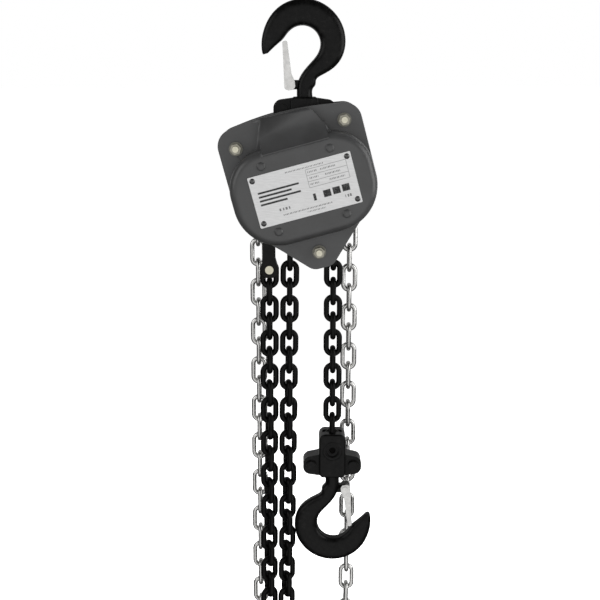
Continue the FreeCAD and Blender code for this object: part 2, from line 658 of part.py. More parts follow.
pinion = gear(10, 0, -38.2, -45.8)
steps = [(4.5, 71.5, 63.6), (5.5, 63.6, 26), (6.0, 26, -36.6), (4.2, -36.6, -38.2), (4.0, -45.8, -49)]
shaft = spindle(*steps[0]).fuse([spindle(*step) for step in steps[1:]] + [pinion])
split_hole = Part.makeCylinder(1.3, 20, Vector(-10, 0, -68.2), X)
feature("drive_shaft", shaft.cut(split_hole), casing())
outer_holes = [(u, v, 4.0 + RUN) for u, v in spindles + [(0, 0)]] + [(u, v, 2.5) for u, v in STUDS]
keep(flat("gear_outer_plate", casing(-46.6), [(-46, -10, 9), (-8, -40.6, 7), (8, -40.6, 7), (46, -10, 9),
                                              (46, 10, 9),
                                              (8, 40.6, 7), (-8, 40.6, 7), (-46, 10, 9)], 2.2, outer_holes),
     "gear_outer_plate")
posts = []
for u, v in STUDS:
    long_post = primitive("Cylinder", "post_core", in_casing(u, v, -S["gap_half"]), Radius=2.5, Height=31.2)
    wide_post = primitive("Cylinder", "post_body", in_casing(u, v, -plate_face), Radius=3.6,
                          Height=46.6 - plate_face)
    posts.append(fuse("post", [long_post, wide_post]))
group("gear_plate_studs", posts)


# ---------------------------------------------------------------- load brake and hand wheel
thread = 5.5
keep(turned("brake_hub", casing(), [(thread, 38), (11, 38), (11, 29), (34, 29), (34, 24.5), (10, 24.5),
                                    (10, 22.6),
                                    (6.05, 22.6), (6.05, 26), (thread, 26)]), "brake_hub")
group("friction_discs", [ring("inner_lining", casing(31.5), 33.0, 11.0, 2.5),
                         ring("outer_lining", casing(38.0), 33.0,
                                                                                 11.0, 2.5)])
RATCHET_TEETH, RATCHET_TIP, RATCHET_ROOT = 12, 38.0, 33.6
ratchet_points = []
for tooth in range(RATCHET_TEETH):
    lead = 2 * math.pi * tooth / RATCHET_TEETH
    for radius, angle in ((RATCHET_ROOT, lead), (RATCHET_TIP, lead), (RATCHET_TIP, lead + math.radians(4))):
        ratchet_points.append((radius * math.cos(angle), radius * math.sin(angle), 0.0))
keep(flat("ratchet_disc", casing(35.35), ratchet_points, 3.7, [(0, 0, 11.0 + RUN)]), "ratchet_disc")


def pawl(label, angle):
    """A pawl on its pin, its nose against the ratchet disc."""
    pin_r, nose = 48.0, math.radians(27.2)
    u, v = pin_r * math.cos(math.radians(angle)), pin_r * math.sin(math.radians(angle))
    reach = Vector(36.2 * math.cos(nose) - pin_r, 36.2 * math.sin(nose), 0)
    way = reach.normalize()
    side = Vector(-way.y, way.x, 0)
    length = 23.0
    corners = [side * 5 - way * 5, side * 5 + way * 4, side * 1.8 + way * (length - 3),
               side * -1 + way * length,
               side * -4 + way * (length - 6), side * -5 - way * 5]
    rounds = (4.7, 3, 0.7, 0.7, 2, 4.7)
    points = [(p.x, p.y, r) for p, r in zip(reversed(corners), reversed(rounds))]
    place = in_casing(u, v, 35.2).multiply(Placement(Vector(0, 0, 0), Rotation(Z, angle)))
    keep(flat(label, place, points, 3.4, [(0, 0, 3.0 + RUN)]), label)
    return in_casing(u, v).multiply(Placement(Vector(0, 0, 0), Rotation(Z, angle)))


pins, springs = [], []
for index, angle in enumerate(PAWLS, start=1):
    spot = pawl(f"pawl_{index}", angle)
    pins.append(primitive("Cylinder", "pawl_pin", spot.multiply(Placement(Vector(0, 0, -37), Rotation())),
                          Radius=3.0,
                          Height=37 - S["gap_half"]))
    spring = coil(4.0, 1.2, 3)
    spring.Placement = spot.multiply(Placement(Vector(0, 0, -30.4), Rotation()))
    springs.append(spring)
group("pawl_pins", pins)
feature("pawl_springs", Part.makeCompound(springs))

hand_turning = wheel_radius(WHEEL_POCKETS, S["hand_pitch"], S["hand_wire"])
hand_flat_in = math.sqrt(hand_turning ** 2 - ((S["hand_pitch"] + S["hand_wire"]) / 2) ** 2)
plane, hand_rim = S["hand_plane"], S["hand_rim"]
hand_floor, hand_crest = hand_turning - 10.4, hand_turning - 3.0
wheel_profile = [(thread, 38), (16, 38), (16, plane - 3), (35, plane - 3), (35, plane - 11.5),
                 (hand_rim, plane - 11.5),
                 (hand_rim, plane - 9.3), (hand_crest, plane - 9.3), (hand_crest, plane - 3.1),
                 (hand_floor, plane - 3.1),
                 (hand_floor, plane + 3.1), (hand_crest, plane + 3.1), (hand_crest, plane + 9.3),
                 (hand_rim, plane + 9.3),
                 (hand_rim, plane + 11.5), (35, plane + 11.5), (35, plane + 3), (16, plane + 3),
                 (16, 62), (thread, 62)]
HAND_PHASE = 6.4
wheel_body = turned("hand_wheel", casing(), wheel_profile)
for index in range(WHEEL_POCKETS):
    turn = Placement(Vector(0, 0, -plane), Rotation(Z, lean_turn + HAND_PHASE + 360 * index / WHEEL_POCKETS))
    slot(wheel_body, f"hand_pocket_{index}", turn, (hand_flat_in - S["hand_wire"] / 2 - 0.2, -16.4, -9.2),
         (hand_rim + 2, 16.4, 9.2))
    hole_turn = Placement(Vector(0, 0, 0), Rotation(Z, 360 * index / WHEEL_POCKETS))
    bore(wheel_body, f"hand_light_{index}", hole_turn.multiply(Placement(Vector(25.5, 0, -70), Rotation())),
         5.0, 40)
keep(wheel_body, "hand_wheel")
keep(ring("wheel_washer", casing(63.6), 10.0, thread, 1.6), "wheel_washer")
castle = primitive("Prism", "castle_hex", casing(71.0), Polygon=6, Circumradius=9.6, Height=7.4)
castle_bore = primitive("Cylinder", "castle_bore", casing(72), Radius=4.5, Height=8.4)
notches = [primitive("Box", "castle_notch", casing(66.6).multiply(Placement(Vector(0, 0, 0),
                                                                            Rotation(Z, 60 * n))).multiply(
    Placement(Vector(-12, -1.5, -5), Rotation())), Length=24, Width=3, Height=5) for n in range(3)]
keep(cut("castle_blank", castle, [castle_bore] + notches), "castle_nut")
pin_shank = primitive("Cylinder", "split_shank", casing(68.2).multiply(Placement(Vector(-10.5, 0, 0),
                                                                                 Rotation(Y, 90))),
                      Radius=1.2, Height=21)
pin_eye = primitive("Torus", "split_eye", casing(68.2).multiply(Placement(Vector(-12.6, 0, 0),
                                                                          Rotation(X, 90))),
                    Radius1=2.2, Radius2=0.8)
keep(fuse("split_pin", [pin_shank, pin_eye]), "split_pin")


def rear_cover():
    """The hand wheel's cover: a flange and a round drum, open below where the hand chain hangs out."""
    base_y, drum = 74.5, 64.0
    body = new_body("wheel_cover_blank", casing(nut_seat))
    flange = sketch(body, "wheel_cover_flange")
    draw(flange, CASING)
    for u, v in stays:
        hole(flange, u, v, "sizes.stay_radius")
    extrude(body, "wheel_cover_flange_pad", flange, "sizes.cover_skin")
    low, high = -44.0, drum
    wall = sketch(body, "wheel_cover_drum")
    side = math.sqrt(drum ** 2 - low ** 2)
    wall.addGeometry(Part.Arc(Vector(side, low, 0), Vector(0, high, 0), Vector(-side, low, 0)), False)
    wall.addGeometry(Part.LineSegment(Vector(-side, low, 0), Vector(side, low, 0)), False)
    drum_pad = extrude(body, "wheel_cover_drum_pad", wall, base_y - nut_seat, backwards=True)
    round_edges(body, "wheel_cover_round", drum_pad, 5, in_plane(-(base_y - nut_seat)))
    inner = drum - 2.0
    cavity = sketch(body, "wheel_cover_cavity", lift=S["cover_skin"] + 1)
    edge = math.sqrt(inner ** 2 - (low - 3) ** 2)
    cavity.addGeometry(Part.Arc(Vector(edge, low - 3, 0), Vector(0, inner, 0), Vector(-edge, low - 3, 0)),
                       False)
    cavity.addGeometry(Part.LineSegment(Vector(-edge, low - 3, 0), Vector(edge, low - 3, 0)), False)
    extrude(body, "wheel_cover_cavity_cut", cavity, base_y - nut_seat - 2 + S["cover_skin"] + 1,
            kind="Pocket")
    mouths = []
    for side_x in (-1, 1):
        x = S["axis_side"] + side_x * 47.5 - 13
        mouth = primitive("Box", "chain_mouth", Placement(Vector(x, plane - 12, -S["axis_drop"] - 110),
                                                          Rotation()),
                          Length=26, Width=24, Height=92)
        mouths.append(mouth)
    keep(cut("wheel_cover_open", body, mouths), "hand_wheel_cover")


rear_cover()

# ---------------------------------------------------------------- chain guide and anchor
u, v = GUIDE
keep(flat("chain_guide", in_casing(u, v, 16.0), [(-6.5, -8, 3), (6.5, -8, 3), (7, 8.4, 2), (-7, 8.4, 2)],
          32.0,
          [(0, 0, 3.0)]), "chain_guide")
keep(primitive("Cylinder", "guide_pin", in_casing(u, v, S["gap_half"]), Radius=3.0,
               Height="2 * sizes.gap_half"),
     "chain_guide_pin")
keep(flat("chain_stripper", in_casing(0, 0, 2.6), [(-10.5, -34.95, 0.5), (-1.5, -34.95, 0.5), (-1.5, -17, 1),
                                                   (-4, -15, 1),
                                                   (-8, -17, 1)], 5.2), "chain_stripper")
anchor_top = Vector(*on_casing(*HANGER), 0)
anchor_pin_z = -244.0 + S["load_pitch"] / 2 - 3.0
drop = anchor_top.y - anchor_pin_z
anchor = []
for y in (8.2, -5.4):
    strap = flat("anchor_strap", facing(anchor_top.x, y, anchor_top.y), [
        (-6.3, 6, 5.5), (-6.3, -drop + 9, 3), (-8.5, -drop, 7), (-6, -drop - 8.6, 6), (7, -drop - 8.6, 6),
        (9.2, -drop, 7),
        (6.3, -drop + 10, 3), (6.3, 6, 5.5)], 2.8,
        [(0, 0, 3.0), (S["anchor_side"] - anchor_top.x, -drop, 2.9)])
    anchor.append(strap)
group("chain_anchor", anchor)
keep(primitive("Cylinder", "anchor_hanger", in_casing(*HANGER, plate_face), Radius=3.0,
               Height=2 * plate_face),
     "chain_anchor_hanger")
pin_body = primitive("Cylinder", "anchor_shank", facing(S["anchor_side"], 9.6, anchor_pin_z), Radius=2.9,
                     Height=19.2)
pin_head = primitive("Cylinder", "anchor_head", facing(S["anchor_side"], -8.2, anchor_pin_z), Radius=4.2,
                     Height=2.2)
keep(fuse("chain_anchor_pin", [pin_body, pin_head]), "chain_anchor_pin")


# ---------------------------------------------------------------- chains
def link_shape(wire, pitch, width, slim=0.2):
    """One welded link about the origin, long along X and flat in XY, slimmed for clearance."""
    bend = (width - wire) / 2
    half = (pitch + wire) / 2 - bend
    tube = (wire - slim) / 2
    ends = []
    for side in (1, -1):
        end = Part.makeTorus(bend, tube, Vector(0, 0, 0), Z, 0, 360, 180)
        end.rotate(Vector(0, 0, 0), Z, -90 * side)
        end.translate(Vector(side * half, 0, 0))
        ends.append(end)
    legs = [Part.makeCylinder(tube, 2 * half, Vector(-half, side * bend, 0), X) for side in (1, -1)]
    return ends[0].fuse([ends[1]] + legs).removeSplitter()


def links_between(shape, turning_points, first_lies_across, plane_y, twist=None):
    """A link from each turning point to the next; every other link lies across the chain's plane."""
    links = []
    for index, (start, end) in enumerate(zip(turning_points, turning_points[1:])):
        a, b = Vector(start[0], plane_y, start[1]), Vector(end[0], plane_y, end[1])
        along = (b - a).normalize()
        across = (index % 2 == 0) == first_lies_across
        normal = along.cross(Y) if across else Y
        middle = (a + b) / 2
        if twist is not None:
            normal = Rotation(Z, twist(middle.z)).multVec(normal)
        link = shape.copy()
        link.Placement = Placement(middle, Rotation(along, Vector(0, 0, 0), normal, "XZY"))
        links.append(link)
    return links


def hanging(start, count, first_lies_across, pitch, wire, lean=0.0):
    """Turning points down from a start, alternating the two spans of a chain; lean drifts them to the left."""
    points = [start]
    across = first_lies_across
    for _ in range(count):
        x, z = points[-1]
        span = pitch + wire if across else pitch - wire
        drift = lean if z > S["lean_turn"] else -lean
        points.append((x - drift * span, z - span))
        across = not across
    return points


load_link = link_shape(S["load_wire"], S["load_pitch"], S["load_width"])
slim_link = link_shape(S["load_wire"], S["load_pitch"], S["load_width"], 0.3)
pitch, wire = S["load_pitch"], S["load_wire"]
long_span, short_span = pitch + wire, pitch - wire
half_flat = math.degrees(math.asin(long_span / 2 / sheave_turning))


def on_sheave(angle):
    turn = math.radians(angle)
    return (S["axis_side"] + sheave_turning * math.cos(turn),
            -S["axis_drop"] + sheave_turning * math.sin(turn))


def meet(start, first, goal_x, second):
    """The turning point between two spans that lead straight down to a vertical at goal_x."""
    total = first + second
    fall = math.sqrt(total ** 2 - (goal_x - start[0]) ** 2)
    end = (goal_x, start[1] - fall)
    share = first / total
    return (start[0] + (end[0] - start[0]) * share, start[1] - fall * share), end


wrap = [on_sheave(90 * k + side * half_flat) for k in range(3) for side in (-1, 1)]
load_mid, load_exit = meet(wrap[0], short_span, S["load_side"], long_span)
slack_mid, slack_exit = meet(wrap[-1], short_span, S["slack_side"], long_span)
UPPER_LINKS = 3
load_down = hanging(load_exit, UPPER_LINKS, False, pitch, wire)
upper_points = list(reversed(load_down)) + [load_mid] + wrap + [slack_mid, slack_exit]
feature("load_chain_upper", Part.makeCompound(links_between(load_link, upper_points, False, 0)))

pin_link_middle = -S["block_drop"] + end_drop
LOWER_LINKS = 2 * round((load_down[-1][1] - pin_link_middle) / (2 * pitch))
lower_points = hanging(load_down[-1], LOWER_LINKS, True, pitch, wire)
feature("load_chain_lower", Part.makeCompound(links_between(slim_link, lower_points, True, 0)))

SLACK_PAIRS = 19
slack_b = hanging(slack_exit, 2 * SLACK_PAIRS, False, pitch, wire, S["slack_lean"])
anchor_link_top = (S["anchor_side"], slack_exit[1] - 2 * pitch)
slack_a = hanging(anchor_link_top, 2 * SLACK_PAIRS - 2, False, pitch, wire, S["anchor_lean"])
bottom_mid = (slack_b[-1][0] + slack_a[-1][0]) / 2
corner_shift = bottom_mid + long_span / 2 - slack_b[-1][0]
bottom_z = slack_b[-1][1] - math.sqrt(short_span ** 2 - corner_shift ** 2)
turn_right, turn_left = (bottom_mid + long_span / 2, bottom_z), (bottom_mid - long_span / 2, bottom_z)


def slack_twist(z):
    """The slack strands turn a little about themselves, most half way down."""
    part = (slack_exit[1] - 40 - z) / (slack_exit[1] - 40 - slack_b[-1][1] - 20)
    return 26 * math.sin(math.pi * min(max(part, 0), 1)) ** 1.5


slack_points = slack_b + [turn_right, turn_left] + list(reversed(slack_a))
feature("slack_chain", Part.makeCompound(links_between(load_link, slack_points, False, 0, slack_twist)))

hand_link = link_shape(S["hand_wire"], S["hand_pitch"], S["hand_width"])
hand_long, hand_short = S["hand_pitch"] + S["hand_wire"], S["hand_pitch"] - S["hand_wire"]
hand_half = math.degrees(math.asin(hand_long / 2 / hand_turning))


def on_wheel(angle):
    turn = math.radians(angle)
    return (S["axis_side"] + hand_turning * math.cos(turn), -S["axis_drop"] + hand_turning * math.sin(turn))


hand_wrap = [on_wheel(HAND_PHASE + 360 / WHEEL_POCKETS * k + side * hand_half) for k in range(4) for side in (-1, 1)]
LOOP_SHAPE = 11.8        # how sharply the hand chain's loop turns at its bottom
LOOP_RISE = 300.0        # how far above its bottom the loop has opened to its full width


def loop_line(bottom):
    """The hand chain's line from the wheel down round the loop and up again, as close points."""
    right, left = hand_wrap[0], hand_wrap[-1]
    middle = (right[0] + left[0]) / 2
    line = []
    for side, top in ((1, right), (-1, left)):
        full = LOOP_SHAPE * math.acosh(1 + LOOP_RISE / LOOP_SHAPE)
        reach = abs(top[0] - middle)
        strand = []
        for step in range(1201):
            share = step / 1200
            rise = LOOP_RISE * share ** 2
            strand.append((middle + side * reach * LOOP_SHAPE * math.acosh(1 + rise / LOOP_SHAPE) / full,
                           bottom + rise))
        strand.append(top)
        line.append(strand)
    return list(reversed(line[0])) + line[1][1:]


def march(line, count):
    """Turning points stepped along a line, in-plane and across spans in turn; the gap left at its end."""
    points = [line[0]]
    index = 1
    for number in range(count):
        span = hand_short if number % 2 == 0 else hand_long
        here = points[-1]
        a = here
        while index < len(line) - 1 and math.dist(line[index], here) < span:
            a = line[index]
            index += 1
        b = line[index]
        low, high = 0.0, 1.0
        for _ in range(40):
            share = (low + high) / 2
            spot = (a[0] + (b[0] - a[0]) * share, a[1] + (b[1] - a[1]) * share)
            if math.dist(spot, here) < span:
                low = share
            else:
                high = share
        points.append(spot)
    return points, line[-1][1] - points[-1][1]


HAND_LINKS = 73
shallow, deep = -800.0, -1050.0
for _ in range(40):
    bottom = (shallow + deep) / 2
    hand_points, short_of_top = march(loop_line(bottom), HAND_LINKS)
    if short_of_top > 0:
        deep = bottom
    else:
        shallow = bottom
hand_points[-1] = hand_wrap[-1]
around_wheel = list(reversed(hand_wrap))
hand_loop = hand_points + around_wheel[1:]
feature("hand_chain", Part.makeCompound(links_between(hand_link, hand_loop, False, plane)))

# ---------------------------------------------------------------- checks and files
doc.recompute()
for obj in doc.Objects:
    if "Invalid" in obj.State or "Error" in obj.State:
        raise SystemExit(f"{obj.Name} ({obj.Label}) failed: {obj.State}")
os.makedirs("parts", exist_ok=True)
for obj in nodes:
    shape = obj.Shape
    if shape.isNull() or not shape.isValid():
        raise SystemExit(f"{obj.Label} has no valid shape")
    shape.exportStep(f"parts/{obj.Label}.step")
    box = shape.BoundBox
    print(f"{obj.Label:28s} solids {len(shape.Solids):3d}  volume {shape.Volume:10.1f}  "
          f"x {box.XMin:7.1f} {box.XMax:7.1f}  y {box.YMin:6.1f} {box.YMax:6.1f}  z {box.ZMin:7.1f} {box.ZMax:7.1f}")
print("nodes", len(nodes), "hand loop bottom", round(bottom, 1), "slack bottom", round(bottom_z, 1),
      "load exit", load_exit, "lower links", LOWER_LINKS, "pin link middle", pin_link_middle,
      "chain end", lower_points[-2:], "slack end", slack_points[-2:])
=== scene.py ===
"""A hand chain hoist: finishes, softened edges and small details around the fixed frame."""
import json
import math

import bmesh
import bpy
from mathutils import Euler, Matrix, Vector


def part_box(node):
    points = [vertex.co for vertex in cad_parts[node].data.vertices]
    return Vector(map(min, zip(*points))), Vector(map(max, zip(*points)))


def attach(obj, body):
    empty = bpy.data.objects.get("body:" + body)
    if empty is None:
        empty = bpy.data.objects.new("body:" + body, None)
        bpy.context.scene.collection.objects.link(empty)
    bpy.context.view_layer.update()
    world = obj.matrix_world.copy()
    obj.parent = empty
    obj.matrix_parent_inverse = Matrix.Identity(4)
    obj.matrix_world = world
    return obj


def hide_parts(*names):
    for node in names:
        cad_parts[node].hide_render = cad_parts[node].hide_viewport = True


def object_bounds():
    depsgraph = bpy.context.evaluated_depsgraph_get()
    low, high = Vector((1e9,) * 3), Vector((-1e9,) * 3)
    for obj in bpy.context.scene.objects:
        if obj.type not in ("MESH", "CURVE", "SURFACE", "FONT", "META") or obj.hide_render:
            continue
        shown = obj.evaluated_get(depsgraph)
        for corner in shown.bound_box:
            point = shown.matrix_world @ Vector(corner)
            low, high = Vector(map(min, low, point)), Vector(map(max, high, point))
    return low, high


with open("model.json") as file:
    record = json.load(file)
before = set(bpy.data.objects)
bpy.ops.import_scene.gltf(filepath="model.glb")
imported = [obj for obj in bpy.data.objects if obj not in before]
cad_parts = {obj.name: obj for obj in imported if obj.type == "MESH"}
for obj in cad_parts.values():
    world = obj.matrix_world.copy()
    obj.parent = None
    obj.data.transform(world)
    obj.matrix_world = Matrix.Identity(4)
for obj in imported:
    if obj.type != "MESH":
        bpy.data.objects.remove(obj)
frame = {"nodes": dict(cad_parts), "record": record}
cad_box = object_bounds()
nodes = frame["nodes"]

MM = 0.001
LEAN = math.radians(15)                       # the casing hangs with its right side up
SHEAVE = Vector((2.0, 0, -154.6)) * MM        # the load sheave's axis, where the casing's own frame starts
COVER_FACE = -53.0                            # the gear cover's front face, mm along Y
PLATE_MIDDLE = (0.9, 1.6)                     # the name plate's middle in the casing's own frame, mm
PLATE_FACE = (-53.7 * MM, -53.6 * MM)         # along Y, the print ends between these two

FOLD = math.radians(32)                       # a CAD copy's edge past this angle stays crisp or is rounded
SAME_POINT = 0.002 * MM                       # corners this close are one
FLAT = math.radians(0.4)                      # neighbouring faces this flat become one
MOST_TRIANGLES = 150_000                      # a copy with more, as of a long chain, is thinned to this many

EYE = Vector((-2.3, -1025.1, -43.6)) * MM     # the camera's place
LOOK_DOWN = 12.5                              # degrees
LENS, SENSOR = 61.8, 36                       # mm
FRONT_AIM = (0, -0.97, -0.24)                 # where the room's light comes from: in front, a little below
FRONT_LIGHT, SIDE_LIGHT, BACK_LIGHT = 1.0, 0.07, 0.45
FLOOR_DROP = 0.02                             # how far the floor lies below the lowest chain, m
FLOOR_GLOW = 0.85                             # lets the floor read as a white sheet
HOIST_MIDDLE = (0, 0, -0.25)                  # where the lamps aim


# ---------------------------------------------------------------- finishes
class Link:
    """A socket of a finish; arithmetic on it adds Math nodes."""

    def __init__(self, finish, socket):
        self.finish = finish
        self.socket = socket

    def math(self, operation, *values):
        return self.finish.add("ShaderNodeMath", {"operation": operation}, values)

    def of_this(self, operation):
        """A function of one value, such as a sine."""
        return self.math(operation, self)

    def __add__(self, other):
        return self.math("ADD", self, other)

    def __radd__(self, other):
        return self.math("ADD", other, self)

    def __sub__(self, other):
        return self.math("SUBTRACT", self, other)

    def __rsub__(self, other):
        return self.math("SUBTRACT", other, self)

    def __mul__(self, other):
        return self.math("MULTIPLY", self, other)

    def __rmul__(self, other):
        return self.math("MULTIPLY", other, self)

    def size(self):
        return self.of_this("ABSOLUTE")

    def most(self, other):
        return self.math("MAXIMUM", self, other)

    def least(self, other):
        return self.math("MINIMUM", self, other)

    def wave(self, pitch):
        """A sine of a pitch."""
        return (self * (math.tau / pitch)).of_this("SINE")

    def ramp(self, low, high):
        """0 below low, 1 above high, smooth between; low may be the larger."""
        return self.finish.add("ShaderNodeMapRange", {"interpolation_type": "SMOOTHSTEP"},
                               {"Value": self, "From Min": low, "From Max": high})


class Finish:
    """A material whose nodes all come from add()."""

    def __init__(self, name):
        self.material = bpy.data.materials.new(name)
        self.material.use_nodes = True
        self.tree = self.material.node_tree
        self.tree.nodes.clear()
        self.place = self.add("ShaderNodeTexCoord", output="Object")

    def add(self, kind, settings=None, values=(), output=0):
        """A node of one kind: settings first, then the values or links of its inputs."""
        node = self.tree.nodes.new(kind)
        for key, value in (settings or {}).items():
            setattr(node, key, value)
        pairs = values.items() if isinstance(values, dict) else enumerate(values)
        for key, value in pairs:
            if isinstance(value, Link):
                self.tree.links.new(value.socket, node.inputs[key])
            else:
                node.inputs[key].default_value = value
        return Link(self, node.outputs[output]) if node.outputs else None

    def noise(self, grain, detail=3.0, rough=0.5, stretch=(1, 1, 1), turn=(0, 0, 0)):
        """Noise whose grain is its size in millimetres, drawn out by stretch and turned by turn."""
        spot = self.add("ShaderNodeMapping", None, {"Vector": self.place, "Rotation": turn, "Scale": stretch})
        return self.add("ShaderNodeTexNoise", None,
                        {"Vector": spot, "Scale": 1000 / grain, "Detail": detail, "Roughness": rough})

    def blend(self, amount, low, high):
        """A colour between two colours."""
        return self.add("ShaderNodeMix", {"data_type": "RGBA"}, {0: amount, 6: low, 7: high}, 2)

    def relief(self, height, depth, strength=1.0, under=None):
        """A bump of a depth in millimetres, over another bump if one is given."""
        values = {"Strength": strength, "Distance": depth * MM, "Height": height}
        if under is not None:
            values["Normal"] = under
        return self.add("ShaderNodeBump", None, values)

    def shade(self, **sockets):
        """The surface shader; its sockets are named with underscores for spaces."""
        values = {name.replace("_", " "): value for name, value in sockets.items()}
        surface = self.add("ShaderNodeBsdfPrincipled", None, values)
        self.add("ShaderNodeOutputMaterial", None, {"Surface": surface})
        return self.material


def grey(level, warm=0.0):
    """An opaque grey, a little warmer or cooler."""
    return (level * (1 + warm), level, level * (1 - warm), 1)


def satin_paint():
    """Dark grey enamel on pressed steel: orange peel, cloudy gloss and a few pale rubs and specks."""
    f = Finish("satin grey paint")
    cloud = f.noise(34, 4, 0.6)
    peel = f.noise(1.6, 2, 0.5)
    specks = f.noise(3.1, 2, 0.7).ramp(0.70, 0.78)
    rubs = f.noise(9, 5, 0.75, stretch=(1, 1, 3)).ramp(0.66, 0.8)
    base = f.blend(cloud.ramp(0.3, 0.7), grey(0.066, 0.0), grey(0.082, -0.01))
    base = f.blend(specks * 0.25 + rubs * 0.08, base, grey(0.17))
    bump = f.relief(peel, 0.05, 0.5)
    bump = f.relief(cloud, 0.25, 0.25, bump)
    rough = 0.28 + cloud.ramp(0.3, 0.7) * 0.08 + specks * 0.12 + peel * 0.05
    return f.shade(Base_Color=base, Roughness=rough, Specular_IOR_Level=0.5, Normal=bump)


def black_enamel():
    """Black enamel over a forging: soft scale and lumps below, a slightly uneven gloss on top."""
    f = Finish("black enamel")
    lumps = f.noise(16, 3, 0.55)
    scale = f.noise(4.2, 4, 0.6)
    peel = f.noise(1.1, 2, 0.5)
    worn = (lumps * 0.5 + scale * 0.5).ramp(0.56, 0.68)
    base = f.blend(scale.ramp(0.35, 0.7), grey(0.003), grey(0.007, 0.03))
    base = f.blend(worn * 0.16, base, grey(0.05, 0.04))
    bump = f.relief(lumps, 0.7, 0.5)
    bump = f.relief(scale, 0.22, 0.45, bump)
    bump = f.relief(peel, 0.05, 0.5, bump)
    rough = 0.27 + scale.ramp(0.3, 0.75) * 0.12 + worn * 0.08
    return f.shade(Base_Color=base, Roughness=rough, Specular_IOR_Level=0.14, Normal=bump)


def chain_black():
    """Black oxide on drawn and welded wire: near black, oily, rubbed paler where links bear."""
    f = Finish("black oxide chain")
    cloud = f.noise(7, 4, 0.6)
    grain = f.noise(1.2, 3, 0.6)
    rubbed = f.noise(11, 3, 0.7).ramp(0.6, 0.74)
    base = f.blend(cloud.ramp(0.35, 0.7), grey(0.003), grey(0.008, 0.03))
    base = f.blend(rubbed * 0.2, base, grey(0.05, 0.04))
    bump = f.relief(cloud, 0.2, 0.4)
    bump = f.relief(grain, 0.06, 0.5, bump)
    rough = 0.24 + cloud.ramp(0.3, 0.75) * 0.12 + grain * 0.05
    metal = rubbed * 0.2
    return f.shade(Base_Color=base, Roughness=rough, Metallic=metal, Specular_IOR_Level=0.1, Normal=bump)


def zinc(name, tint, gloss):
    """Zinc plate: bright metal with faint spangle, dull streaks and tiny pits."""
    f = Finish(name)
    cloud = f.noise(6, 4, 0.6)
    spangle = f.add("ShaderNodeTexVoronoi", None, {"Vector": f.place, "Scale": 1000 / 2.4}, "Color")
    shift = f.add("ShaderNodeSeparateColor", None, {"Color": spangle})
    pits = f.noise(0.9, 2, 0.6)
    dull, worn = (tuple(share * part for part in tint) + (1,) for share in (0.74, 0.4))
    base = f.blend(cloud.ramp(0.3, 0.75), dull, (*tint, 1))
    base = f.blend(pits.ramp(0.66, 0.76) * 0.2, base, worn)
    bump = f.relief(cloud, 0.12, 0.3)
    bump = f.relief(pits, 0.02, 0.4, bump)
    rough = gloss + cloud.ramp(0.3, 0.75) * 0.14 + shift * 0.05
    return f.shade(Base_Color=base, Roughness=rough, Metallic=1.0, Normal=bump)


def turned_steel():
    """Plain machined steel with fine tool marks and a film of oil."""
    f = Finish("turned steel")
    marks = f.noise(0.7, 2, 0.5, stretch=(1, 6, 1))
    cloud = f.noise(13, 3, 0.6)
    base = f.blend(cloud.ramp(0.3, 0.7), grey(0.34, 0.01), grey(0.5, 0.02))
    bump = f.relief(marks, 0.03, 0.6)
    return f.shade(Base_Color=base, Roughness=0.3 + marks * 0.14, Metallic=1.0, Normal=bump)


def cast_iron():
    """As-cast iron: grainy, dull, with rust blooming in the hollows."""
    f = Finish("cast iron")
    grain = f.noise(1.5, 4, 0.65)
    bloom = f.noise(14, 5, 0.65).ramp(0.56, 0.74)
    base = f.blend(grain.ramp(0.3, 0.7), grey(0.075, 0.04), grey(0.13, 0.05))
    base = f.blend(bloom * 0.4, base, (0.12, 0.055, 0.03, 1))
    bump = f.relief(grain, 0.3, 0.7)
    return f.shade(Base_Color=base, Roughness=0.55 + bloom * 0.2, Metallic=0.6, Normal=bump)


def brake_lining():
    """Moulded friction disc: brown black with short pale fibres and grit."""
    f = Finish("brake lining")
    fibre = f.noise(1.0, 3, 0.7, stretch=(4, 1, 1)).ramp(0.6, 0.7)
    grit = f.noise(0.8, 3, 0.7)
    base = f.blend(grit.ramp(0.3, 0.75), (0.05, 0.035, 0.028, 1), (0.11, 0.08, 0.06, 1))
    base = f.blend(fibre * 0.6, base, (0.3, 0.24, 0.15, 1))
    bump = f.relief(grit, 0.12, 0.6)
    return f.shade(Base_Color=base, Roughness=0.8 + grit * 0.1, Normal=bump)


def pin_end_painted_shade():
    """A pin's end deep in its bore, coloured near black as painted shade for the bore, with a faint mottle
    and bumps.
    """
    f = Finish("pin end painted shade")
    mottle = f.noise(1.6, 3, 0.6)
    # painted shade: a near-black colour stands in for the dimness deep in the bore
    base = f.blend(mottle, grey(0.0015), grey(0.005, 0.1))
    bump = f.relief(mottle, 0.2, 0.6)
    return f.shade(Base_Color=base, Roughness=0.7 + mottle * 0.2, Specular_IOR_Level=0.05, Normal=bump)


